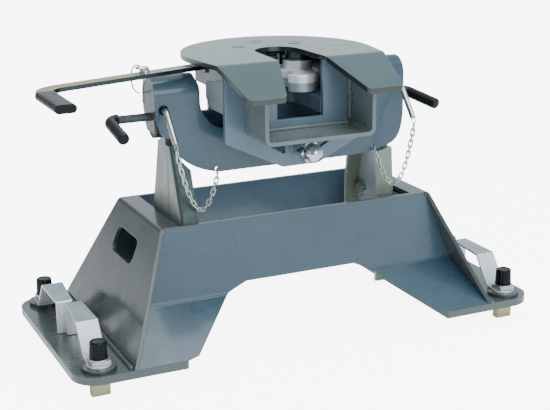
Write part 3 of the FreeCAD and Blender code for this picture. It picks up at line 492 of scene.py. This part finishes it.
def ring_bead(name, centre, axis, big, radius, body, slot):
    """Round weld bead about an axis."""
    axis = Vector(axis)
    u = axis.orthogonal().normalized()
    w = axis.cross(u).normalized()
    count = 150
    rings = []
    for i in range(count):
        a = 2 * math.pi * i / count
        out = u * math.cos(a) + w * math.sin(a)
        r = radius * MM * (0.88 + 0.16 * abs(math.sin(i * math.pi / 4)))
        rings.append(section((Vector(centre) + out * big) * MM, out, axis, r))
    bm = bmesh.new()
    skin(bm, rings, True)
    return piece(name, bm, body, slot)


def link_ring(name, centre, normal, big, thick, body, stretch):
    """Small wire ring, stretched downwards to an oval."""
    n = Vector(normal).normalized()
    u = (Vector((0, 0, 1)) - n * n.z).normalized()
    w = n.cross(u)
    count = 40
    rings = []
    for i in range(count):
        a = 2 * math.pi * i / count
        out = u * (math.cos(a) * stretch) + w * math.sin(a)
        rings.append(section((Vector(centre) + out * big) * MM, out.normalized(), n, thick * MM))
    bm = bmesh.new()
    skin(bm, rings, True)
    return piece(name, bm, body, "zinc_bright")


def lathe(name, place, profile, body, slot, count=48, axis=(0, 0, 1), shape=None):
    """Turned piece: profile rows of radius and height in mm, about an axis through place.

    shape gives a factor on the radius from the angle and the height.
    """
    axis = Vector(axis)
    u = axis.orthogonal().normalized()
    w = axis.cross(u).normalized()
    rings = []
    for radius, height in profile:
        ring = []
        for i in range(count):
            a = 2 * math.pi * i / count
            out = u * math.cos(a) + w * math.sin(a)
            r = radius * (shape(a, height) if shape else 1.0)
            ring.append((Vector(place) + axis * height + out * r) * MM)
        rings.append(ring)
    bm = bmesh.new()
    skin(bm, rings, False)
    return piece(name, bm, body, slot)


def fluted(angle, height):
    """Twelve grip flutes on the side of a cap, fading out at its crown and foot."""
    fade = max(0.0, min(1.0, (height - 2.0) / 2.0)) * max(0.0, min(1.0, (25.2 - height) / 1.5))
    return 1.0 - 0.085 * fade * max(0.0, math.cos(12 * angle)) ** 1.5


def anchor_caps():
    """Fluted black caps over the anchor studs, each on a brown collar."""
    for row in ("front", "rear"):
        for side, _ in SIDES:
            where = f"{row}_{side}"
            low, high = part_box(f"anchor_cap_{where}")
            cx = (low[0] + high[0]) / 2 / MM
            cy = (low[1] + high[1]) / 2 / MM
            z0 = low[2] / MM
            body = BODY_OF[f"anchor_cap_{where}"]
            profile = [(9.6, 0.2), (13.4, 0.2), (13.9, 0.9), (13.9, 2.0), (13.5, 3.0),
                       (13.4, 5.0), (13.1, 12.0), (12.8, 20.0), (12.7, 24.0), (12.4, 25.4),
                       (11.6, 26.3), (10.4, 26.6), (9.4, 26.3), (8.9, 25.6), (4.0, 25.5),
                       (1.5, 25.7)]
            cap = lathe(f"cap_{where}", (cx, cy, z0), profile, body, "cap_black", 144,
                        shape=fluted)
            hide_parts(f"anchor_cap_{where}")
            lathe(f"collar_{where}", (cx, cy, z0 - 2.2),
                  [(9.0, 0.0), (12.6, 0.0), (13.0, 0.5), (13.0, 1.9), (12.6, 2.3), (9.0, 2.3)],
                  body, "collar_brown")


def plug_welds():
    """Three filled and ground plug welds in the flat of the skid plate."""
    profile = [(11.2, -0.3), (11.0, 0.05), (10.4, 0.55), (9.6, 0.60), (8.9, 0.30),
               (8.3, 0.12), (4.0, 0.20), (1.0, 0.24)]
    for i, (x, y) in enumerate(PLUG_WELD_XY):
        lathe(f"plug_weld_{i + 1}", (x, y, SKID_TOP_Z), profile, "head", "paint_top", 64)


def welds():
    """Beads along the feet, round the kingpin box and round the roll sleeve."""
    for side, s in SIDES:
        x = s * FOOT_WELD_X
        bead(f"weld_foot_{side}", [(x, -FOOT_WELD_HALF_Y, FOOT_WELD_Z),
                                   (x, FOOT_WELD_HALF_Y, FOOT_WELD_Z)], 4.2,
             "base", "paint_foot")
    bead("weld_box_floor", [(-85, BOX_WELD_Y, 357.6), (85, BOX_WELD_Y, 357.6)], 3.2, "head",
         "paint_box")
    for side, s in SIDES:
        x = s * BOX_WELD_X
        bead(f"weld_box_side_{side}", [(x, BOX_WELD_Y, 360), (x, BOX_WELD_Y, 449)], 3.0,
             "head", "paint_box")
    ring_bead("weld_roll_sleeve", SLEEVE_WELD_AT, (0, 1, 0), SLEEVE_WELD_R, 2.8, "cradle", "paint")


def punch_marks():
    """Centre-punch mark on the outer face of each anchor block."""
    profile = [(2.2, -0.2), (2.1, 0.25), (1.7, 0.38), (1.2, 0.30), (0.8, 0.05), (0.3, -0.05)]
    for row, t in (("front", -1), ("rear", 1)):
        for side, s in SIDES:
            lathe(f"punch_{row}_{side}", (s * PUNCH_X, t * PUNCH_Y, PUNCH_Z), profile,
                  BODY_OF[f"anchor_{row}_{side}"], "zinc_yellow", 28, axis=(0, t, 0))


def chain_rings():
    """Wire rings that hold each chain to its safety pin and to the cradle's edge."""
    for (side, pin_x), (_, hook_x, hook_z) in zip(PIN_RINGS, HOOK_RINGS):
        link_ring(f"pin_ring_{side}", (pin_x, -94.0, 345.6), (1, 0.15, 0), 4.3, 0.85,
                  f"safety_{side}", 1.3)
        link_ring(f"hook_ring_{side}", (hook_x, -45.0, hook_z - 3.6), (1, 0, 0), 3.6, 0.8,
                  "cradle", 1.5)


look_camera()
studio()
dress_nodes()
anchor_caps()
plug_welds()
welds()
punch_marks()
chain_rings()
